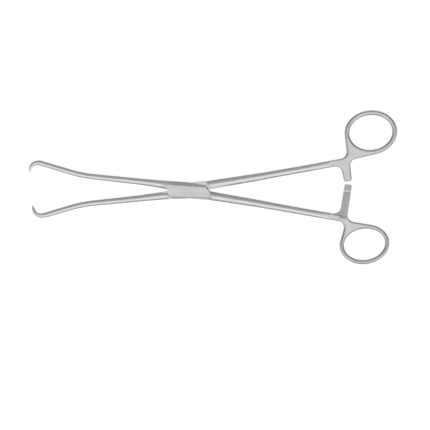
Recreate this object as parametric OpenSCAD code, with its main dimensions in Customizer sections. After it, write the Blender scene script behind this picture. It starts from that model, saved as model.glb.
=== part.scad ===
// Tenaculum forceps: two forged steel arms that cross in a box lock, with one hooked
// point on each jaw, two finger rings and a long ratchet between the shanks.
// Units are millimetres. The origin is on the lock pin's axis at the underside of the
// lock. Jaws point to -X, rings to +X, and the forceps lie flat on the XY plane.

/* [Lock] */
// Thickness of the box that the lock pin goes through
lock_t = 6; // [5:0.1:8]
// Width of the box across the pin
lock_w = 10.4; // [9.6:0.1:12]
// Length of the box from the pin to its end at the jaws
lock_to_jaw = 14.6; // [13.5:0.1:17]
// Length of the box from the pin to its end at the shanks
lock_to_shank = 14.4; // [13.5:0.1:17]
// Height of the slot in the box
slot_h = 2; // [1.6:0.1:2.4]
// Play of the tongue in the slot, above and below
tongue_play = 0.08; // [0.05:0.01:0.15]
// Radius of the tongue's round waist at the pin
waist_r = 3.5; // [3.2:0.1:3.9]
// Side play of the tongue in the slot
side_play = 0.25; // [0.2:0.05:0.4]
// Diameter of the lock pin
pin_d = 3.6; // [3:0.1:4]
// Radial play of the pin in the tongue's bore
pin_play = 0.05; // [0.03:0.01:0.08]
// Turn from the open pose that is built here to closed jaws, in degrees
close_turn = 12.1; // [10:0.1:14]
// Turn from the open pose that is built here to wide open, in degrees
open_turn = 38; // [20:1:42]

/* [Jaws] */
// Distance of a jaw's middle line from the pin
jaw_offset = 2.4; // [2.1:0.1:2.8]
// Angle of a jaw to the forceps' long axis, near the lock
jaw_splay = 5.6; // [5.2:0.1:7]
// Lean of the whole jaw pair towards the box arm's side, in degrees
jaw_lean = 0.15; // [0:0.05:1]
// Length of a jaw's inner straight, from the pin to the bend
jaw_inner_len = 64; // [50:1:80]
// Length of the gentle bend
jaw_bend_len = 17; // [8:1:30]
// Turn of the gentle bend, in degrees
jaw_bend = 10.9; // [6:0.1:14]
// Length of the outer straight, from the bend to the hook
jaw_outer_len = 16.8; // [12:0.5:30]
// How much later the box arm's hook begins, so that the points pass each other
point_pass = 4.1; // [3.6:0.1:5]
// Width of a jaw at the lock
jaw_root_w = 4.5; // [4:0.1:5]
// Width of a jaw near the hook
jaw_tip_w = 3.3; // [2.6:0.1:3.8]
// Thickness of a jaw near the hook
jaw_tip_t = 3.2; // [2.6:0.1:4]

/* [Hooks] */
// Length of the box arm's hook along its curve, first part
upper_hook_root = 6.7; // [4:0.1:8]
// Turn of the box arm's hook, first part
upper_hook_turn = 62; // [50:1:90]
// Length of the box arm's hook along its curve, pointed part
upper_hook_point = 5; // [4:0.1:9]
// Turn of the box arm's hook, pointed part
upper_point_turn = 72; // [20:1:80]
// Length of the through arm's hook along its curve, first part
lower_hook_root = 7.9; // [5:0.1:9]
// Turn of the through arm's hook, first part
lower_hook_turn = 60; // [40:1:90]
// Length of the through arm's hook along its curve, pointed part
lower_hook_point = 4.9; // [4:0.1:10]
// Turn of the through arm's hook, pointed part
lower_point_turn = 57; // [20:1:70]
// Diameter of a hook at its sharp end
hook_tip_d = 0.35; // [0.2:0.05:0.6]

/* [Shanks] */
// Distance of a shank's middle line from the pin
shank_offset = 0.9; // [0.6:0.1:1.4]
// Angle of a shank to the forceps' long axis
shank_splay = 10; // [8:0.1:12]
// Length of a shank from the pin to the handle
shank_len = 103; // [90:1:120]
// Width of a shank at the lock
shank_root_w = 6; // [5:0.1:7]
// Width of a shank at the handle
shank_end_w = 4.1; // [3.6:0.1:5]
// Thickness of a shank at the handle, of the rings and of their webs
handle_t = 4.2; // [3.6:0.1:5]

/* [Rings] */
// Distance from the ratchet bar's end to the middle of the through arm's ring, lengthwise
upper_ring_far = 15.4; // [12:0.1:19]
// Distance from the shank to the middle of the through arm's ring, sideways
upper_ring_out = 19.1; // [17:0.1:21]
// Inner length of the through arm's ring
upper_ring_l = 29; // [26:0.1:32]
// Inner width of the through arm's ring
upper_ring_w = 23.3; // [21:0.1:25]
// Tilt of the through arm's ring, in degrees
upper_ring_tilt = 7; // [0:0.5:20]
// Distance from the ratchet bar's end to the middle of the box arm's ring, lengthwise
lower_ring_far = 11.1; // [9:0.1:16]
// Distance from the shank to the middle of the box arm's ring, sideways
lower_ring_out = 16.8; // [16:0.1:20]
// Inner length of the box arm's ring
lower_ring_l = 27.8; // [25:0.1:32]
// Inner width of the box arm's ring
lower_ring_w = 20.9; // [19:0.1:25]
// Tilt of the box arm's ring, in degrees
lower_ring_tilt = -8; // [-12:0.5:20]
// Width of the metal round the through arm's ring
upper_ring_band = 3.35; // [2.6:0.05:4]
// Width of the metal round the box arm's ring
lower_ring_band = 3; // [2.6:0.1:4]
// Rounding of the rings' and webs' edges
edge_r = 1.2; // [0.6:0.1:1.3]
// Radius of the fillets between shank, web and ratchet bar
fillet_r = 4; // [2:0.5:5]

/* [Ratchet] */
// Distance along the shank from its end to the level of the ratchet bars' free ends
bar_far = 5.8; // [4:0.1:7]
// Lean of a bar towards the rings, in degrees
bar_lean = 9.2; // [5:0.1:10]
// Width of the through arm's bar
short_bar_w = 5.5; // [4.5:0.1:6]
// Distance of the through arm's bar end from the long axis
short_bar_end = 6; // [3:0.1:8]
// Width of the box arm's bar
long_bar_w = 4.8; // [4:0.1:6]
// Distance that the box arm's bar reaches past the long axis
long_bar_end = 4.1; // [2:0.1:5]
// Pitch of the ratchet teeth
tooth_pitch = 1.3; // [1:0.1:2]
// Depth of the ratchet teeth
tooth_h = 0.55; // [0.3:0.05:0.7]
// Number of teeth on the box arm's bar
long_teeth = 12; // [6:1:13]
// Number of teeth on the through arm's bar
short_teeth = 3; // [2:1:4]
// Play between the two rows of teeth
tooth_play = 0.1; // [0.06:0.02:0.2]

/* [Hidden] */
steel = [0.78, 0.79, 0.80];
pin_steel = [0.70, 0.71, 0.72];
mid_z = lock_t / 2;
sides = 16;
half_w = lock_w / 2;
end_cut = 3;
bevel_a = 35;
web_foot_r = 3;
land_len = 5.4;
// The point of the shank's middle line that is level with the ratchet bars' free ends
bar_at = [(shank_len + bar_far) * cos(shank_splay) - shank_offset * sin(shank_splay),
          (shank_len + bar_far) * sin(shank_splay) + shank_offset * cos(shank_splay)];
// How far the slot reaches along the jaw and along the shank
slot_jaw_end = (waist_r + side_play - jaw_offset + jaw_root_w / 2 - 0.2) / tan(jaw_splay);
slot_shank_end = (shank_root_w / 2 - shank_offset) / tan(shank_splay - close_turn / 2);
// The tongue's outer edge beyond the waist, as [from the pin, to the side]
edge_start = [1.4, half_w - 0.2];
edge_end = [9.9, half_w + 0.9];
edge_slope = atan((edge_end[1] - edge_start[1]) / (edge_end[0] - edge_start[0]));
edge_off = edge_start[1] * cos(edge_slope) - edge_start[0] * sin(edge_slope);

// Height of a jaw's inner flank, and of a shank's, at the distance x from the pin
function jaw_flank(x) =
    jaw_offset + x * tan(jaw_splay) - lookup(x, [[0, jaw_root_w + 0.2], [25, jaw_root_w - 0.3],
    [jaw_inner_len, jaw_tip_w + 0.35]]) / 2;
function shank_flank(x) =
    -shank_offset - x * tan(shank_splay) + lookup(x, [[0, shank_root_w],
    [30, shank_root_w - 0.7]]) / 2;
// How far a bar's end is from the long axis once the jaws are closed, seen from the
// other arm
function closed_y(past_axis) = bar_at[0] * sin(close_turn) + past_axis * cos(close_turn);

// The point reached after the share f of one leg of a middle line. A point is
// [x, y, heading, distance walked] and a leg is [length, turn, steps].
function along(p, leg, f) =
    let (d = leg[0] * f, turn = leg[1] * f, r = turn == 0 ? 0 : d * 180 / (PI * turn))
    turn == 0
    ? [p[0] + d * cos(p[2]), p[1] + d * sin(p[2]), p[2], p[3] + d]
    : [p[0] + r * (sin(p[2] + turn) - sin(p[2])),
       p[1] - r * (cos(p[2] + turn) - cos(p[2])),
       p[2] + turn, p[3] + d];

// All the points of a middle line made of several legs
function walk(p, legs, i = 0) =
    i == len(legs) ? [p]
    : concat([for (k = [0 : legs[i][2] - 1]) along(p, legs[i], k / legs[i][2])],
             walk(along(p, legs[i], 1), legs, i + 1));

// One point of a section that is w wide and t thick: round at e = 2, squarer above
function section_point(w, t, e, a) =
    [w / 2 * sign(cos(a)) * pow(abs(cos(a)), 2 / e),
     t / 2 * sign(sin(a)) * pow(abs(sin(a)), 2 / e)];

// A bar with a rounded section, carried along stations [x, y, heading, w, t, e]
module swept_bar(stations) {
    last = len(stations) - 1;
    ring = [for (k = [0 : sides - 1]) 360 * (k + 0.5) / sides];
    points = [for (s = stations, a = ring)
        let (q = section_point(s[3], s[4], s[5], a))
        [s[0] - q[0] * sin(s[2]), s[1] + q[0] * cos(s[2]), mid_z + q[1]]];
    walls = [for (i = [0 : last - 1], k = [0 : sides - 1])
        let (n = (k + 1) % sides)
        [i * sides + k, (i + 1) * sides + k, (i + 1) * sides + n, i * sides + n]];
    start_cap = [[for (k = [0 : sides - 1]) k]];
    end_cap = [[for (k = [sides - 1 : -1 : 0]) last * sides + k]];
    polyhedron(points, concat(start_cap, walls, end_cap), convexity = 8);
}

// Everything below is drawn with the jaw towards -X, -Y and the shank towards +X, +Y,
// as the through arm lies. The box arm is its mirror image.

// A jaw with its hook, from the distance start on. The hook's two parts are [length, turn].
module jaw(start, outer_len, hook_root, hook_point) {
    bend_end = jaw_inner_len + jaw_bend_len;
    hook_start = bend_end + outer_len;
    point_start = hook_start + hook_root[0];
    tip = point_start + hook_point[0];
    heading = 180 + jaw_splay;
    foot = [-jaw_offset * sin(jaw_splay), -jaw_offset * cos(jaw_splay), heading, 0];
    line = walk(along(foot, [start, 0, 1], 1),
                [[jaw_inner_len - start, 0, 6], [jaw_bend_len, jaw_bend, 8], [outer_len, 0, 3],
                 [hook_root[0], -hook_root[1], 8], [hook_point[0], -hook_point[1], 7]]);
    wide = [[0, jaw_root_w + 0.2], [25, jaw_root_w - 0.3], [jaw_inner_len, jaw_tip_w + 0.35],
            [bend_end, jaw_tip_w + 0.15], [hook_start, jaw_tip_w],
            [point_start, jaw_tip_w * 0.75], [tip, hook_tip_d]];
    thick = [[0, lock_t - 0.2], [25, jaw_tip_t + 1.2], [jaw_inner_len, jaw_tip_t + 0.4],
             [hook_start, jaw_tip_t], [point_start, jaw_tip_t * 0.7], [tip, hook_tip_d]];
    swept_bar([for (p = line)
        [p[0], p[1], p[2], lookup(p[3], wide), lookup(p[3], thick),
         lookup(p[3], [[hook_start, 2.8], [point_start, 2.2]])]]);
}

// A shank, from the distance start to the ratchet
module shank(start) {
    foot = [-shank_offset * sin(shank_splay), shank_offset * cos(shank_splay), shank_splay, 0];
    line = walk(along(foot, [start, 0, 1], 1), [[shank_len - start, 0, 9]]);
    wide = [[0, shank_root_w], [30, shank_root_w - 0.7], [60, shank_end_w + 0.3],
            [shank_len, shank_end_w]];
    thick = [[0, lock_t - 0.1], [30, handle_t + 0.9], [60, handle_t + 0.2],
             [shank_len, handle_t - 0.1]];
    swept_bar([for (p = line) [p[0], p[1], p[2], lookup(p[3], wide), lookup(p[3], thick), 2.8]]);
}

// The outline of ring, web, shank end and ratchet bar, with fillets between them. The
// middle of the ring and the web's foot are given from the point bar_at.
module handle_outline(ring_from_root, ring_size, ring_band, tilt, web_foot, bar_w, root_w,
                      bar_end) {
    ring_at = bar_at + ring_from_root;
    bar_len = bar_at[1] - bar_end;
    stub_start = bar_far + 4.2;
    stub_end = bar_len * sin(bar_lean);
    foot_w = root_w + (root_w - bar_w) * web_foot[1] / bar_len;
    difference() {
        offset(r = -fillet_r, $fn = 48) offset(r = fillet_r, $fn = 48) {
            hull() {
                translate(ring_at) rotate(tilt)
                    ellipse(ring_size[0] + 2 * ring_band, ring_size[1] + 2 * ring_band);
                translate(bar_at + web_foot) circle(r = web_foot_r, $fn = 24);
            }
            translate(bar_at) rotate(shank_splay)
                translate([-stub_start, -shank_end_w / 2])
                    square([stub_start - stub_end, shank_end_w]);
            translate([bar_at[0], bar_end]) rotate(bar_lean)
                polygon([[-bar_w / 2, 0], [bar_w / 2, 0], [foot_w / 2, bar_len + web_foot[1]],
                         [-root_w / 2, bar_len]]);
        }
        translate(ring_at) rotate(tilt) ellipse(ring_size[0], ring_size[1]);
    }
}

module ellipse(l, w) {
    scale([l / w, 1]) circle(d = w, $fn = 44);
}

// An outline as a solid as thick as the handle, with its edges rounded all round
module rounded_plate() {
    translate([0, 0, mid_z]) minkowski() {
        linear_extrude(height = handle_t - 2 * edge_r, center = true)
            offset(delta = -edge_r) children();
        rotate_extrude($fn = 10)
            polygon([for (a = [-90, -50, 0, 50, 90]) edge_r * [cos(a), sin(a)]]);
    }
}

// A cut along a ratchet bar, from its end towards the shank. The profile is a list of
// [distance from the bar's end, height], and the cut is as wide as side to side.
module bar_cut(bar_end, profile, side) {
    translate([bar_at[0], bar_end, 0]) rotate(bar_lean) translate([-side, 0, 0])
        rotate([90, 0, 90]) linear_extrude(height = 2 * side) polygon(profile);
}

// The saw edge of a row of teeth that starts at the distance s. Each tooth climbs from
// the root height to the tip height and falls back at once.
function saw(s, n, root_z, tip_z) =
    [for (i = [0 : n - 1]) each [[s + i * tooth_pitch, root_z],
                                 [s + (i + 1) * tooth_pitch - 0.05, tip_z]]];

// The tongue's outline: a round waist on the pin and a flare into the jaw and into the
// shank. Closed, the waist touches neither side of the box.
module tongue_outline() {
    near = [-sin(close_turn), cos(close_turn)] * waist_r;
    circle(r = waist_r, $fn = 64);
    polygon([near, [1.6 - lock_to_jaw, 0.06], [-31, -3.08], [-32, -5.4],
             [-edge_end[0], -half_w - 0.4], [-edge_start[0], -half_w + 0.3], [0, 0]]);
    polygon([-near, [lock_to_shank - 3.9, -1.3], [lock_to_shank - 0.9, 2], [24, 4.5],
             edge_end, edge_start, [0, 0]]);
}

// The box arm's outline round the lock, as the box arm really lies
module box_outline() {
    polygon([[-lock_to_jaw - 4.4, jaw_flank(lock_to_jaw + 4.4) + 0.3],
             [-lock_to_jaw + 3.4, half_w + 0.6],
             [0, half_w - 0.2],
             [lock_to_shank - end_cut, 0.54 * half_w],
             [lock_to_shank, -0.4 * half_w],
             [lock_to_shank + 3, shank_flank(lock_to_shank + 3) - 0.3],
             [lock_to_shank - 1.5, -half_w - 0.95],
             [0, -half_w - 0.1],
             [-lock_to_jaw + end_cut, -half_w - 0.7],
             [-lock_to_jaw, -0.63 * half_w],
             [-lock_to_jaw, 0]]);
}

// The room that the box arm needs when the jaws are closed, seen from the through arm
module closed_room() {
    gap = 0.5;
    crotch_y = shank_flank(lock_to_shank);
    crotch_x = lock_to_shank - end_cut * (crotch_y / half_w + 0.4) / 0.94;
    rotate(close_turn)
        polygon([[-40, 12], [-40, jaw_flank(40) - side_play],
                 [-lock_to_jaw - 5, jaw_flank(lock_to_jaw + 5) - side_play],
                 [-lock_to_jaw - gap, -0.2],
                 [-lock_to_jaw - gap, -0.63 * half_w - 0.1],
                 [-lock_to_jaw + end_cut + 2, -half_w - 3.2],
                 [40, -half_w - 8], [30, shank_flank(30) + side_play],
                 [crotch_x + gap, crotch_y + side_play],
                 [lock_to_shank - end_cut + gap, 0.54 * half_w + 0.2],
                 [lock_to_shank - end_cut - 2.2, half_w + 3]]);
}

// The slot through the box, as the box arm really lies: all that the tongue sweeps
// between closed and wide open. It leaves a wall along each side of the box.
module slot_outline() {
    r = waist_r + side_play;
    h = edge_slope + open_turn;
    corner = [(r * cos(h) - edge_off - side_play) / sin(h), r];
    rise = 5 * [cos(h), sin(h)];
    polygon([[-slot_jaw_end, r], corner, corner + rise, [slot_shank_end, 2 * half_w],
             [slot_shank_end, -r], -corner, -corner - rise, [-slot_jaw_end, -2 * half_w]]);
}

// A sloping cut along one edge of the box, through the point p with the given heading
module bevel(p, heading) {
    for (flip = [0, 1])
        translate([p[0], p[1], mid_z]) mirror([0, 0, flip]) rotate(heading)
            translate([0, 0, lock_t / 2]) rotate([-bevel_a, 0, 0])
                translate([-2 * lock_to_jaw, 0, 0]) cube([4 * lock_to_jaw, 2 * lock_w, lock_t]);
}

module box_arm() {
    root_z = mid_z - tooth_play / 2 - tooth_h;
    tip_z = mid_z - tooth_play / 2;
    reach = long_bar_end + closed_y(-short_bar_end) + 1;
    recess = concat([[-3, 9], [-3, root_z - 1.2], [0, root_z - 1.2], [1.4, root_z]],
                    saw(land_len, long_teeth, root_z, tip_z),
                    [[land_len + long_teeth * tooth_pitch, root_z], [reach, root_z], [reach, 9]]);
    color(steel) difference() {
        union() {
            mirror([0, 1, 0]) {
                rotate(jaw_lean)
                    jaw(9, jaw_outer_len + point_pass, [upper_hook_root, upper_hook_turn],
                        [upper_hook_point, upper_point_turn]);
                shank(9);
                difference() {
                    rounded_plate()
                        handle_outline([lower_ring_far, lower_ring_out],
                                       [lower_ring_l, lower_ring_w], lower_ring_band,
                                       lower_ring_tilt, [0.9, 4.2], long_bar_w,
                                       long_bar_w + 0.4, -long_bar_end);
                    bar_cut(-long_bar_end, recess, 6);
                }
            }
            difference() {
                linear_extrude(height = lock_t) box_outline();
                bevel([0, half_w - 2.6], -4.1);
                mirror([0, 1, 0]) bevel([0, half_w - 0.9], 1);
            }
        }
        translate([0, 0, mid_z]) linear_extrude(height = slot_h, center = true) slot_outline();
        translate([0, 0, -1]) cylinder(d = pin_d, h = lock_t + 2, $fn = 64);
    }
}

module through_arm() {
    tongue_h = slot_h - 2 * tongue_play;
    tip_z = mid_z + tooth_play / 2;
    root_z = tip_z + tooth_h;
    reach = closed_y(long_bar_end) - short_bar_end + 1.5;
    recess = concat([[-3, -3], [-3, root_z], [0, root_z]],
                    saw(0.3, short_teeth, root_z, tip_z),
                    [[short_teeth * tooth_pitch + 0.3, tip_z], [reach, tip_z], [reach, -3]]);
    color(steel) difference() {
        union() {
            difference() {
                union() {
                    rotate(-jaw_lean)
                        jaw(9, jaw_outer_len, [lower_hook_root, lower_hook_turn],
                            [lower_hook_point, lower_point_turn]);
                    shank(9);
                }
                for (side = [-1, 1])
                    translate([0, 0, mid_z + side * (tongue_h + 6) / 2])
                        linear_extrude(height = 6, center = true) closed_room();
            }
            translate([0, 0, mid_z]) linear_extrude(height = tongue_h, center = true)
                tongue_outline();
            difference() {
                rounded_plate()
                    handle_outline([upper_ring_far, upper_ring_out],
                                   [upper_ring_l, upper_ring_w], upper_ring_band,
                                   upper_ring_tilt, [2.3, 3.6], short_bar_w,
                                   short_bar_w + 1.2, short_bar_end);
                bar_cut(short_bar_end, recess, 6);
            }
        }
        translate([0, 0, -1]) cylinder(d = pin_d + 2 * pin_play, h = lock_t + 2, $fn = 64);
    }
}

// The lock pin is riveted and ground flush with both faces of the box
module lock_pin() {
    color(pin_steel) cylinder(d = pin_d, h = lock_t, $fn = 64);
}

box_arm();
through_arm();
lock_pin();
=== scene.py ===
"""Tenaculum forceps of satin stainless steel: two forged arms that cross in a box lock."""

import bmesh
import bpy
import numpy as np
from mathutils.geometry import tessellate_polygon
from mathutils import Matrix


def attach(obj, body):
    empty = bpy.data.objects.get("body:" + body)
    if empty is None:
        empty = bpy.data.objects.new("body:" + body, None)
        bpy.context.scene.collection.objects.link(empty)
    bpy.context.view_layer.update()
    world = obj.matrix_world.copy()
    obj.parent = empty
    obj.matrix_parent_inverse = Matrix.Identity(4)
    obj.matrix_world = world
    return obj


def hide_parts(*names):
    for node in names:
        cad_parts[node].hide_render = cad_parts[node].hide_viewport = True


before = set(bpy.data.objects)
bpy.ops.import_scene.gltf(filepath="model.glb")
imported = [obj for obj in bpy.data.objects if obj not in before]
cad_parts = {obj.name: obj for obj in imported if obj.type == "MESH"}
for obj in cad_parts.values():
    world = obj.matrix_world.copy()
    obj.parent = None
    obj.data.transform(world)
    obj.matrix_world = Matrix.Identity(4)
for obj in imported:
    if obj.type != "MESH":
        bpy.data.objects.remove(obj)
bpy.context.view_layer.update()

# Camera. The picture looks straight down on the forceps. One pixel of the photograph is
# 0.675 mm, and the lock pin's axis is at pixel (189.5, 190.1) of its 430.
PICTURE = 430
PIXEL = 0.000675
PIN_PIXEL = (189.5, 190.1)
CAMERA_HEIGHT = 2.4
MIDDLE_HEIGHT = 0.003
SENSOR = 36.0

lens = bpy.data.cameras.new("camera")
lens.sensor_width = SENSOR
lens.lens = SENSOR * (CAMERA_HEIGHT - MIDDLE_HEIGHT) / (PICTURE * PIXEL)
lens.clip_end = 20.0
camera = bpy.data.objects.new("camera", lens)
camera.location = ((PICTURE / 2 - PIN_PIXEL[0]) * PIXEL,
                   (PIN_PIXEL[1] - PICTURE / 2) * PIXEL, CAMERA_HEIGHT)
bpy.context.scene.collection.objects.link(camera)
bpy.context.scene.camera = camera
bpy.context.scene.view_settings.view_transform = "Standard"

# Studio. One long white softbox hangs over the front half of the table. The rest of the room
# is grey, and the ground bevels at the back and at the sides of every limb mirror that.
FRONT_TO_BACK = [(-1.0, 0.26), (-0.93, 0.32), (-0.85, 0.62), (-0.74, 1.20), (-0.20, 1.36),
                 (-0.08, 1.05), (0.0, 0.98), (0.12, 0.85), (0.25, 0.64), (0.45, 0.52), (1.0, 0.41)]
SIDE_TO_SIDE = [(-1.0, 0.46), (-0.7, 0.50), (-0.5, 0.72), (-0.3, 0.95), (0.0, 1.0),
                (0.3, 0.95), (0.5, 0.72), (0.7, 0.50), (1.0, 0.46)]

world = bpy.data.worlds.new("studio")
world.use_nodes = True
bpy.context.scene.world = world
nodes, links = world.node_tree.nodes, world.node_tree.links
direction = nodes.new("ShaderNodeTexCoord")
parts = nodes.new("ShaderNodeSeparateXYZ")
light = nodes.new("ShaderNodeVectorMath")
light.operation = "MULTIPLY"
links.new(direction.outputs["Generated"], parts.inputs["Vector"])
for slot, axis, table in ((0, "Y", FRONT_TO_BACK), (1, "X", SIDE_TO_SIDE)):
    share = nodes.new("ShaderNodeMath")
    share.operation = "MULTIPLY_ADD"
    share.inputs[1].default_value = 0.5
    share.inputs[2].default_value = 0.5
    level = nodes.new("ShaderNodeValToRGB")
    for at, grey in table[1:-1]:
        level.color_ramp.elements.new((at + 1) / 2)
    for element, (at, grey) in zip(level.color_ramp.elements, table):
        element.color = (grey, grey, grey, 1)
    links.new(parts.outputs[axis], share.inputs[0])
    links.new(share.outputs["Value"], level.inputs["Fac"])
    links.new(level.outputs["Color"], light.inputs[slot])
links.new(light.outputs["Vector"], nodes["Background"].inputs["Color"])

table_mesh = bpy.data.meshes.new("table")
table_mesh.from_pydata([(-3, -3, 0), (3, -3, 0), (3, 3, 0), (-3, 3, 0)], [], [(0, 1, 2, 3)])
table = bpy.data.objects.new("table", table_mesh)
bpy.context.scene.collection.objects.link(table)
white_sheet = bpy.data.materials.new("white_sheet")
white_sheet.use_nodes = True
sheet = white_sheet.node_tree.nodes["Principled BSDF"]
sheet.inputs["Base Color"].default_value = (0.40, 0.40, 0.40, 1)
sheet.inputs["Roughness"].default_value = 1.0
sheet.inputs["Specular IOR Level"].default_value = 0.0
sheet.inputs["Emission Color"].default_value = (1, 1, 1, 1)
sheet.inputs["Emission Strength"].default_value = 0.80
table_mesh.materials.append(white_sheet)

# Through arm, jaw. One bar of martensitic stainless steel, forged, ground and satin
# finished. It has a narrow flat along its top and two ground bevels that fall to upright
# sides, and it bends inwards once before the single sharp hook at its end.
MM = 0.001
MIDDLE_Z = 3.0
LOCK_T = 6.0
ROOT = 9.0
JAW_SPLAY = 5.68
JAW_LEAN = 0.10
JAW_OFFSET = 2.5
JAW_STRAIGHT = 64.0
JAW_BEND = (17.0, 10.9)
HOOK_TIP = 0.35
BEVEL_FIRST, BEVEL_LAST = 7.0, 43.0
CORNER = 0.06


def satin_steel(name, tint, rough):
    """Metal whose roughness and tint drift in streaks along X and whose grain is a bump."""
    made = bpy.data.materials.new(name)
    made.use_nodes = True
    n, l = made.node_tree.nodes, made.node_tree.links
    metal = n["Principled BSDF"]
    metal.inputs["Metallic"].default_value = 1.0
    place = n.new("ShaderNodeTexCoord")

    def noise(spots_per_metre, stretch, detail):
        """A noise of that many spots a metre, drawn out along X by the stretch."""
        turn = n.new("ShaderNodeMapping")
        turn.inputs["Scale"].default_value = (1.0 / stretch, 1.0, 1.0)
        spots = n.new("ShaderNodeTexNoise")
        spots.inputs["Scale"].default_value = spots_per_metre
        spots.inputs["Detail"].default_value = detail
        l.new(place.outputs["Object"], turn.inputs["Vector"])
        l.new(turn.outputs["Vector"], spots.inputs["Vector"])
        return spots.outputs["Fac"]

    def spread(value, low, high):
        """The noise value, from about 0.3 to 0.7, spread from low to high."""
        out = n.new("ShaderNodeMapRange")
        out.inputs["From Min"].default_value = 0.3
        out.inputs["From Max"].default_value = 0.7
        out.inputs["To Min"].default_value = low
        out.inputs["To Max"].default_value = high
        l.new(value, out.inputs["Value"])
        return out.outputs["Result"]

    def relief(height, strength, depth, under=None):
        """A bump of that depth in metres, on top of the one under it."""
        bump = n.new("ShaderNodeBump")
        bump.inputs["Strength"].default_value = strength
        bump.inputs["Distance"].default_value = depth
        l.new(height, bump.inputs["Height"])
        if under:
            l.new(under, bump.inputs["Normal"])
        return bump.outputs["Normal"]

    colour = n.new("ShaderNodeMix")
    colour.data_type = "RGBA"
    colour.inputs["A"].default_value = tuple(0.95 * c for c in tint) + (1.0,)
    colour.inputs["B"].default_value = tuple(1.04 * c for c in tint) + (1.0,)
    l.new(spread(noise(220.0, 3.0, 3.0), 0.0, 1.0), colour.inputs["Factor"])
    l.new(colour.outputs["Result"], metal.inputs["Base Color"])
    streaks = noise(5200.0, 14.0, 2.0)
    l.new(spread(streaks, rough - 0.05, rough + 0.06), metal.inputs["Roughness"])
    grain = relief(noise(9000.0, 1.5, 3.0), 0.20, 0.000012)
    l.new(relief(streaks, 0.24, 0.000010, grain), metal.inputs["Normal"])
    return made


steel = satin_steel("satin_steel", (0.640, 0.648, 0.665), 0.30)


def solid(name, points, faces, metal=steel):
    """A closed mesh at the origin, from points in millimetres, with its faces outwards."""
    mesh = bpy.data.meshes.new(name)
    mesh.from_pydata((np.asarray(points) * MM).tolist(), [], faces)
    mesh.materials.append(metal)
    shell = bmesh.new()
    shell.from_mesh(mesh)
    bmesh.ops.recalc_face_normals(shell, faces=shell.faces)
    if shell.calc_volume(signed=True) < 0:
        bmesh.ops.reverse_faces(shell, faces=shell.faces)
    shell.to_mesh(mesh)
    shell.free()
    made = bpy.data.objects.new(name, mesh)
    bpy.context.scene.collection.objects.link(made)
    return made


def walls(rows, columns):
    """The four corners of every face between neighbouring points of a closed grid."""
    i, k = np.meshgrid(np.arange(rows - 1), np.arange(columns), indexing="ij")
    right = (k + 1) % columns
    return np.stack([i * columns + k, i * columns + right,
                     (i + 1) * columns + right, (i + 1) * columns + k], -1).reshape(-1, 4)


def centre_line(foot, heading, legs, step):
    """The heading turns evenly along each leg (length, turn) and the place is its sum."""
    ends = np.cumsum([0.0] + [leg[0] for leg in legs])
    turns = heading + np.cumsum([0.0] + [leg[1] for leg in legs])
    walked = np.linspace(0.0, ends[-1], int(ends[-1] / step) + 1)
    aim = np.radians(np.interp(walked, ends, turns))
    middle = (aim[1:] + aim[:-1]) / 2
    gain = np.diff(walked)
    x = foot[0] + np.concatenate([[0.0], np.cumsum(gain * np.cos(middle))])
    y = foot[1] + np.concatenate([[0.0], np.cumsum(gain * np.sin(middle))])
    return walked, x, y, aim


def ground_edge(first, last, corner):
    """Distance out and drop of a face of width one that leans more and more, from the
    first angle to the last, and then rolls over a small corner until it is upright."""
    lean = np.radians(np.linspace(first, last, 8))
    out = np.linspace(0, 1 - corner, 8)
    drop = np.concatenate([[0], np.cumsum(np.tan((lean[1:] + lean[:-1]) / 2) * np.diff(out))])
    roll = np.radians(np.linspace(last, 90, 6))
    radius = corner / (1 - np.sin(roll[0]))
    rolled_out = out[-1] + radius * (np.sin(roll) - np.sin(roll[0]))
    rolled_drop = drop[-1] + radius * (np.cos(roll[0]) - np.cos(roll))
    return np.append(out, rolled_out[1:]), np.append(drop, rolled_drop[1:])


def limb(name, line, wide, thick, flat, shift, side):
    """At each station of the line stands a section with a flat and ground edges. Its width,
    thickness, flat share and sideways shift come from tables over the distance walked."""
    walked, x, y, aim = line
    w, t, f, s = (np.interp(walked, *np.transpose(table))[:, None]
                  for table in (wide, thick, flat, shift))
    out, drop = ground_edge(BEVEL_FIRST, BEVEL_LAST, CORNER)
    across = w / 2 * (f + (1 - f) * out)
    up = t / 2 - w / 2 * (1 - f) * drop
    across = np.concatenate([across, across[:, ::-1]], 1)
    up = np.concatenate([up, -up[:, ::-1]], 1)
    across = s + np.concatenate([across, -across[:, ::-1]], 1)
    up = np.concatenate([up, up[:, ::-1]], 1)
    grid = np.stack([x[:, None] - across * np.sin(aim)[:, None],
                     side * (y[:, None] + across * np.cos(aim)[:, None]),
                     MIDDLE_Z + up], -1)
    rows, columns = grid.shape[:2]
    points = np.concatenate([grid.reshape(-1, 3), grid[[0, -1]].mean(1)])
    k, last = np.arange(columns), (rows - 1) * columns
    right = (k + 1) % columns
    hub = np.full(columns, rows * columns)
    faces = walls(rows, columns).tolist()
    faces += np.stack([k, hub, right], 1).tolist()
    faces += np.stack([last + k, last + right, hub + 1], 1).tolist()
    return solid(name, points, faces)


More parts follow.
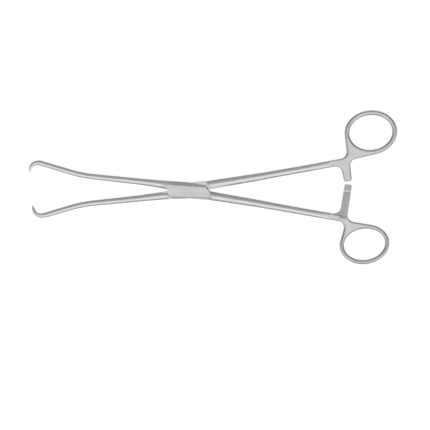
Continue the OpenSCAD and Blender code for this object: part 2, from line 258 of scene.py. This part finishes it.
def jaw(name, side, root, outer_len, hook_arcs):
    """The jaw's line is a straight, a gentle bend, a straight and the arcs of a hook."""
    splay = JAW_SPLAY - side * JAW_LEAN
    lean, way = np.radians(splay), np.radians(180 + splay)
    foot = (-JAW_OFFSET * np.sin(lean) + root * np.cos(way),
            -JAW_OFFSET * np.cos(lean) + root * np.sin(way))
    legs = [(JAW_STRAIGHT - root, 0.0), JAW_BEND, (outer_len, 0.0)]
    legs += [(length, -turn) for length, turn in hook_arcs]
    ends = np.cumsum([leg[0] for leg in legs])
    bend, straight, hook, point, tip = ends[[0, 1, 2, -2, -1]]
    wide = [(13 - root, 5.9), (20 - root, 5.15), (25 - root, 4.7), (33 - root, 4.3),
            (bend, 3.75), (straight, 3.65), (hook, 3.5), (point, 2.45), (tip - 2.0, 1.7),
            (tip, HOOK_TIP)]
    thick = [(0, 5.9), (25 - root, 4.4), (bend, 3.6), (hook, 3.2), (point, 2.4),
             (tip, HOOK_TIP)]
    flat = [(0, 0.09), (tip, 0.09)]
    shift = [(13 - root, -0.6), (20 - root, -0.35), (25 - root, -0.2), (33 - root, -0.1),
             (bend, 0.0)]
    line = centre_line(foot, 180 + splay, legs, 0.4)
    return limb(name, line, wide, thick, flat, shift, side)


def carve(body, tool, how):
    """Joins the tool to the body, or cuts it away, and keeps only the body."""
    step = body.modifiers.new(how, "BOOLEAN")
    step.operation = how
    step.solver = "EXACT"
    step.material_mode = "TRANSFER"
    step.object = tool
    done = bpy.data.meshes.new_from_object(
        body.evaluated_get(bpy.context.evaluated_depsgraph_get()))
    body.modifiers.clear()
    body.data = done
    bpy.data.objects.remove(tool)


through = jaw("through_arm_forging", 1, ROOT, 16.4, [(4.6, 20.0), (3.4, 46.0), (5.8, 45.0)])

# Through arm, shank. The same forging goes on behind the lock as a straight tapering bar,
# ground like the jaw.
SHANK_SPLAY = 10.0
SHANK_OFFSET = 0.9
SHANK_LEN = 103.0
SHANK_END_W = 4.5
HANDLE_T = 4.2


def shank(name, side, out):
    """A straight line from the lock to the handle, where its flat grows to the web's. The
    whole bar is moved out a little between its ends."""
    lean = np.radians(SHANK_SPLAY)
    foot = (-SHANK_OFFSET * np.sin(lean) + ROOT * np.cos(lean),
            SHANK_OFFSET * np.cos(lean) + ROOT * np.sin(lean))
    end = SHANK_LEN - ROOT
    wide = [(0, 6.1), (21, 5.55), (51, 4.75), (end, SHANK_END_W)]
    thick = [(0, 5.85), (21, 5.1), (51, 4.4), (end, HANDLE_T - 0.1)]
    flat = [(0, 0.09), (end - 22, 0.09), (end - 3, 0.42), (end, 0.42)]
    shift = [(0, 0.3 + out), (10, 0.26 + out), (36, out - 0.08), (end - 14, out - 0.04),
             (end, 0.0)]
    line = centre_line(foot, SHANK_SPLAY, [(end, 0.0)], 1.0)
    return limb(name, line, wide, thick, flat, shift, side)


carve(through, shank("through_shank", 1, -0.15), "UNION")

# Through arm, tongue. In the lock the arm is milled down to a flat tongue with a round
# waist, which passes through the box of the other arm and turns on the pin.
CLOSE_TURN = 12.1
WAIST_R = 3.5
TONGUE_T = 1.84
TONGUE_BORE_R = 1.85


def unit(angle):
    """The direction at that many degrees from +X."""
    return np.array([np.cos(np.radians(angle)), np.sin(np.radians(angle))])


def circle(radius, count=96):
    """Points of a circle round the origin."""
    angles = np.linspace(0, 2 * np.pi, count, endpoint=False)
    return radius * np.stack([np.cos(angles), np.sin(angles)], 1)


def between(count):
    """The faces of a solid whose points are two copies of one outline of that length."""
    return [list(range(count))[::-1], list(range(count, 2 * count))] + walls(2, count).tolist()


def prism(name, outline, low, high):
    """An outline in the XY plane carried straight up from low to high."""
    outline = np.array(outline, float)
    count = len(outline)
    points = np.concatenate([np.insert(outline, 2, z, axis=1) for z in (low, high)])
    return solid(name, points, between(count))


def wedge(at, heading, slope, half, over, reach=(-30, 30)):
    """Everything above a slope that starts on a line at that half thickness, or under it."""
    way, out = unit(heading), unit(heading + 90)
    profile = np.array([(0, 0)] + slope + [(slope[-1][0], 6.0), (0, 6.0)])
    plan = np.array(at) + profile[:, :1] * out
    z = MIDDLE_Z + over * (half + profile[:, 1])
    points = np.concatenate([np.insert(plan + along * way, 2, z, axis=1) for along in reach])
    return solid("wedge", points, between(len(profile)))


box_room = np.array([
    [-40, 12], [-40, 4.0], [-19.6, 1.15], [-15.1, -0.5], [-15.1, -3.4], [-9.6, -8.4],
    [40, -13.2], [30, -3.3], [13.97, -0.32], [11.9, 3.0], [9.2, 8.2]])
box_room = box_room @ np.stack([unit(CLOSE_TURN), unit(CLOSE_TURN + 90)])
for low, high in ((-1, MIDDLE_Z - TONGUE_T / 2), (MIDDLE_Z + TONGUE_T / 2, 7)):
    carve(through, prism("room", box_room, low, high), "DIFFERENCE")
for over in (1, -1):
    for at, heading, reach in ((box_room[2], 4.1, (-21, 0.3)), (box_room[3], -8.0, (-5.0, 1.0))):
        carve(through, wedge(at, heading, [(1.4, -0.6), (12.0, -0.6)], TONGUE_T / 2, over, reach),
              "DIFFERENCE")
waist = unit(CLOSE_TURN + 90) * WAIST_R
to_shank = [-waist, (10.5, -1.3), (13.5, 2.0), (24.0, 4.5), (9.9, 6.4), (1.4, 5.3), (0, 0)]
to_jaw = [waist, (-13.0, 0.06), (-31.0, -3.08), (-32.0, -6.0), (-9.9, -5.7), (-1.4, -5.0), (0, 0)]
low, high = MIDDLE_Z - TONGUE_T / 2, MIDDLE_Z + TONGUE_T / 2
for outline in (circle(WAIST_R), to_shank):
    carve(through, prism("tongue", outline, low, high), "UNION")


flare = prism("flare", to_jaw, low, high)
for over in (1, -1):
    carve(flare, wedge((-14.0, -3.34), 5.45, [(1.2, -0.48), (9.0, -4.5)], TONGUE_T / 2, over),
          "DIFFERENCE")
    carve(flare, wedge((-14.0, -4.25), 185.45, [(1.2, -0.48), (9.0, -4.5)], TONGUE_T / 2, over),
          "DIFFERENCE")
carve(through, flare, "UNION")
carve(through, prism("bore", circle(TONGUE_BORE_R), -1, 7), "DIFFERENCE")

# Through arm, finger ring and short ratchet bar. Ring, web and bar are one flat forging,
# ground round all their edges. The bar's underside is milled away for the other bar,
# and three saw teeth at its end point down.
BAR_AT = np.array([106.99, 19.78])
BAR_LEAN = 9.2
BAR_CORNER_R = 1.4
FILLET = 4.6
WEB_FOOT_R = 3.0
STUB = 13.0
HANDLE_EDGE = (21.0, 44.0, 0.08)
RING_EDGE_W = 1.42
BAR_EDGE_W = 1.0
TOOTH_PITCH = 1.3
TOOTH_H = 0.55


def crossing(p, along_p, q, along_q):
    """The point where two lines meet, each a point and a direction."""
    return p + along_p * np.linalg.solve(np.stack([along_p, -along_q], 1), q - p)[0]


def rounded(corner, before, after, radius):
    """An arc of that radius in a corner, tangent to the lines to before and to after."""
    corner, before, after = (np.asarray(p, float) for p in (corner, before, after))
    a = (before - corner) / np.linalg.norm(before - corner)
    b = (after - corner) / np.linalg.norm(after - corner)
    half = np.arccos(np.clip(a @ b, -1, 1)) / 2
    centre = corner + (a + b) / np.linalg.norm(a + b) * radius / np.sin(half)
    start, end = corner + a * radius / np.tan(half), corner + b * radius / np.tan(half)
    first = np.arctan2(*(start - centre)[::-1])
    sweep = (np.arctan2(*(end - centre)[::-1]) - first + np.pi) % (2 * np.pi) - np.pi
    angles = first + np.linspace(0, sweep, max(5, int(abs(sweep) * 16)))
    return centre + radius * np.stack([np.cos(angles), np.sin(angles)], 1)


def ellipse(centre, size, tilt, angles):
    """Points of an ellipse of that length and width, tilted, at the given angles."""
    local = np.stack([size[0] / 2 * np.cos(angles), size[1] / 2 * np.sin(angles)], 1)
    return centre + local @ np.stack([unit(tilt), unit(tilt + 90)])


def handle_outline(ring_at, ring_size, band, tilt, web_foot, bar_w, root_w, bar_end, bar_out):
    """Round the ring, then by its tangents to the web's foot, the shank and the bar."""
    outer = np.array(ring_size) + 2 * band
    angles = np.linspace(0, 2 * np.pi, 1441)
    p = ellipse(ring_at, outer, tilt, angles)
    way = np.gradient(p, axis=0)
    way /= np.linalg.norm(way, axis=1)[:, None]
    reach = ((BAR_AT + web_foot - p) * np.stack([way[:, 1], -way[:, 0]], 1)).sum(1) + WEB_FOOT_R
    touches = np.flatnonzero(np.diff(np.sign(reach)))
    left, right = touches[np.argmin(p[touches, 0])], touches[np.argmax(p[touches, 0])]
    over = angles[left] + 2 * np.pi * (angles[left] < angles[right])
    lean, across = unit(90 + BAR_LEAN), unit(BAR_LEAN)
    end = np.array([BAR_AT[0] + bar_out, bar_end])
    root = end + lean * (BAR_AT[1] - bar_end)
    bar_left, bar_right = end - across * bar_w / 2, end + across * bar_w / 2
    shank_way, shank_out = unit(SHANK_SPLAY), unit(SHANK_SPLAY + 90) * SHANK_END_W / 2
    stub_top, stub_bottom = (BAR_AT - shank_way * STUB + out for out in (shank_out, -shank_out))
    web_right = crossing(bar_right, root + across * root_w / 2 - bar_right, p[right], way[right])
    web_left = crossing(stub_top, shank_way, p[left], way[left])
    armpit = crossing(stub_bottom, shank_way, bar_left, root - across * root_w / 2 - bar_left)
    return np.concatenate([
        ellipse(ring_at, outer, tilt, np.linspace(angles[right], over, 220)),
        rounded(web_left, p[left], stub_top, FILLET),
        [stub_top, stub_bottom],
        rounded(armpit, stub_bottom, bar_left, FILLET),
        rounded(bar_left, armpit, bar_right, BAR_CORNER_R),
        rounded(bar_right, bar_left, web_right, BAR_CORNER_R),
        rounded(web_right, bar_right, p[right], FILLET)])


def plate(name, outline, hole, side, thick, edge, edge_width):
    """Copies of outline and hole, set in by a ground edge at top and bottom, and flat
    faces between them. The edge's width is a function of the place on the outline."""
    out, drop = ground_edge(*edge)
    inset = np.concatenate([1 - out, (1 - out)[::-1]])[:, None]
    fall = np.concatenate([drop, drop[::-1]])[:, None]
    top = np.where(np.arange(len(inset)) < len(out), -1, 1)[:, None]
    points, faces, rims, start = [], [], [], 0
    for loop in [outline] if hole is None else [outline, hole[::-1]]:
        loop = loop[np.linalg.norm(loop - np.roll(loop, 1, 0), axis=1) > 0.02]
        way = np.roll(loop, -1, 0) - np.roll(loop, 1, 0)
        inward = np.stack([-way[:, 1], way[:, 0]], 1) / np.linalg.norm(way, axis=1)[:, None]
        count = len(loop)
        width = edge_width(loop)
        level = loop + (inset * width)[:, :, None] * inward
        z = MIDDLE_Z + top * (thick / 2 - fall * width)
        points.append(np.concatenate([level, z[:, :, None]], 2).reshape(-1, 3))
        faces += (start + walls(len(inset), count)).tolist()
        rims.append((start, start + (len(inset) - 1) * count, level[-1]))
        start += len(inset) * count
    flat = np.array(tessellate_polygon([np.insert(rim[2], 2, 0, axis=1).tolist() for rim in rims]))
    rim_points = np.concatenate([rim[2] for rim in rims])
    a, b, c = (rim_points[flat[:, corner]] for corner in range(3))
    turned = (b - a)[:, 0] * (c - a)[:, 1] - (b - a)[:, 1] * (c - a)[:, 0] < 0
    flat[turned] = flat[turned][:, ::-1]
    low, high = (np.concatenate([np.arange(len(rim[2])) + rim[end] for rim in rims]) for end in (0, 1))
    faces += high[flat].tolist() + low[flat[:, ::-1]].tolist()
    return solid(name, np.concatenate(points) * [1, side, 1], faces)


def bar_cut(name, bar_end, profile, side):
    """A profile of (distance from the bar's end, height), carried across the whole bar."""
    profile = np.array(profile, float)
    count = len(profile)
    plan = np.array([BAR_AT[0], bar_end]) + profile[:, :1] * unit(90 + BAR_LEAN)
    points = np.concatenate([
        np.insert((plan + out * unit(BAR_LEAN)) * [1, side], 2, profile[:, 1], axis=1)
        for out in (-6.0, 6.0)])
    return solid(name, points, between(count), milled_steel)


def saw(start, count, root_z, tip_z):
    """Teeth that climb from the root, run level for a moment and fall back steeply."""
    along = np.array([0.0, 0.80, 0.95, 1.0]) * TOOTH_PITCH
    place = start + np.arange(count)[:, None] * TOOTH_PITCH + along
    height = np.broadcast_to([root_z, tip_z, tip_z, root_z + 0.05], place.shape)
    return np.stack([place, height], 2).reshape(-1, 2)


milled_steel = satin_steel("milled_steel", (0.740, 0.746, 0.760), 0.48)
ring_angles = np.linspace(0, 2 * np.pi, 200, endpoint=False)


def ring_to_bar(loop):
    """The ground edge is wide round the ring and narrows towards the shank and the bar."""
    return np.interp(loop[:, 1], BAR_AT[1] + np.array([1.0, 5.0]), [BAR_EDGE_W, RING_EDGE_W])


upper_ring = BAR_AT + [15.4, 19.1]
handle = plate("through_handle",
               handle_outline(upper_ring, (29.0, 23.3), 3.35, 7.0, (2.3, 3.6), 5.5, 6.7, 6.0, 0.0),
               ellipse(upper_ring, (29.0, 23.3), 7.0, ring_angles),
               1, HANDLE_T, HANDLE_EDGE, ring_to_bar)
tip_z = MIDDLE_Z + 0.05
root_z = tip_z + TOOTH_H
under_bar = np.concatenate([[(-3, -3), (-3, root_z), (0, root_z)], saw(0.3, 3, root_z, tip_z),
                            [(4.3, tip_z), (23.0, tip_z), (23.0, -3)]])
carve(handle, bar_cut("under_bar", 6.0, under_bar, 1), "DIFFERENCE")
carve(through, handle, "UNION")


def satin_finish(forging, node, body):
    """Smooth shading, but a sharp edge where faces meet at more than 19 degrees."""
    forging.data.shade_smooth()
    forging.data.set_sharp_from_angle(angle=np.radians(19.0))
    even = forging.modifiers.new("even_shading", "WEIGHTED_NORMAL")
    even.keep_sharp = True
    even.weight = 80
    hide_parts(node)
    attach(forging, body)


satin_finish(through, "through_arm", "through_side")

# Box arm, jaw and shank. The mirror image of the through arm's, except that its hook
# begins later, so that the two points pass each other when the jaws close.
BOX_ROOT = 13.0

box_arm = jaw("box_arm_forging", -1, BOX_ROOT, 20.6, [(6.7, 62.0), (5.0, 72.0)])
carve(box_arm, shank("box_shank", -1, 0.14), "UNION")

# Box arm, box. Its middle swells into a flat block with a slot right through it, where
# the tongue swings. All its edges are ground, with one broad bevel along the back.
BOX_EDGE = (36.0, 48.0, 0.15)
BOX_EDGE_W = 0.78
BOX_CORNER_R = 0.9
BOX_BORE_R = 1.8
SLOT_H = 2.0


def smooth_polygon(corners, radius):
    """The outline with an arc of that radius in each of its corners."""
    count = len(corners)
    return np.concatenate([rounded(corners[k], corners[k - 1], corners[(k + 1) % count], radius)
                           for k in range(count)])


box_outline = smooth_polygon(
    [(-19.0, 2.6), (-14.6, 0.6), (-14.6, -3.28), (-11.6, -6.1), (0, -5.6), (12.9, -6.6),
     (14.9, -5.9), (14.4, -2.08), (11.4, 2.81), (0, 5.2), (-11.2, 6.1), (-15.5, 6.0)],
    BOX_CORNER_R)


def to_the_limbs(loop):
    """The block's ground edge fades out where jaw and shank grow from it, and at the end
    that lies across the tongue."""
    x, y = loop.T
    along = np.interp(x, [-18.0, -14.7, 14.2, 14.6], [0.05, BOX_EDGE_W, BOX_EDGE_W, 0.05])
    across = np.interp(y, [-3.6, -2.9, 3.0, 3.6], [BOX_EDGE_W, 0.06, 0.06, BOX_EDGE_W])
    return np.where(x < 0, np.minimum(along, across), along)


block = plate("block", box_outline, None, 1, LOCK_T, BOX_EDGE, to_the_limbs)
for over in (1, -1):
    carve(block, wedge((0, 2.3), -4.1, [(0.5, -0.5), (12.0, -7.2)], LOCK_T / 2, over),
          "DIFFERENCE")
    carve(block, wedge((0, -4.4), 179.0, [(12.0, -7.0)], LOCK_T / 2, over), "DIFFERENCE")
carve(box_arm, block, "UNION")
slot = [(-37.5, 4.4), (-28.0, 3.75), (-3.8, 3.75), (-0.3, 7.3), (30.4, 10.4), (30.4, -3.75),
        (3.8, -3.75), (0.3, -7.3), (-37.5, -10.4)]
carve(box_arm, prism("slot", slot, MIDDLE_Z - SLOT_H / 2, MIDDLE_Z + SLOT_H / 2), "DIFFERENCE")
carve(box_arm, prism("bore", circle(BOX_BORE_R), -1, 7), "DIFFERENCE")

# Box arm, finger ring and long ratchet bar. Forged and ground like the other handle. The
# bar's upper half is milled away and cut with twelve saw teeth, which point up.
lower_ring = BAR_AT + [11.1, 16.8]
handle = plate("box_handle",
               handle_outline(lower_ring, (27.8, 20.9), 3.0, -8.0, (0.9, 4.2), 4.9, 5.5, -4.1, 0.35),
               ellipse(lower_ring, (27.8, 20.9), -8.0, ring_angles),
               -1, HANDLE_T, HANDLE_EDGE, ring_to_bar)
tip_z = MIDDLE_Z - 0.05
root_z = tip_z - TOOTH_H
over_bar = np.concatenate([
    [(-3, 9), (-3, root_z - 1.1), (0, root_z - 1.1), (1.5, root_z - 0.25),
     (4.6, root_z + 0.36), (4.85, root_z + 0.29), (5.3, root_z + 0.04)],
    saw(5.4, 12, root_z, tip_z), [(21.1, root_z), (21.3, root_z), (23.8, 5.2), (23.8, 9)]])
carve(handle, bar_cut("over_bar", -4.1, over_bar, -1), "DIFFERENCE")
carve(box_arm, handle, "UNION")
satin_finish(box_arm, "box_arm", "box_side")

# Lock pin. A steel pin, riveted and ground flush with both faces of the box and finished
# with it, so that only a hairline shows round its end.
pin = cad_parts["lock_pin"]
pin.data.materials.clear()
pin.data.materials.append(steel)
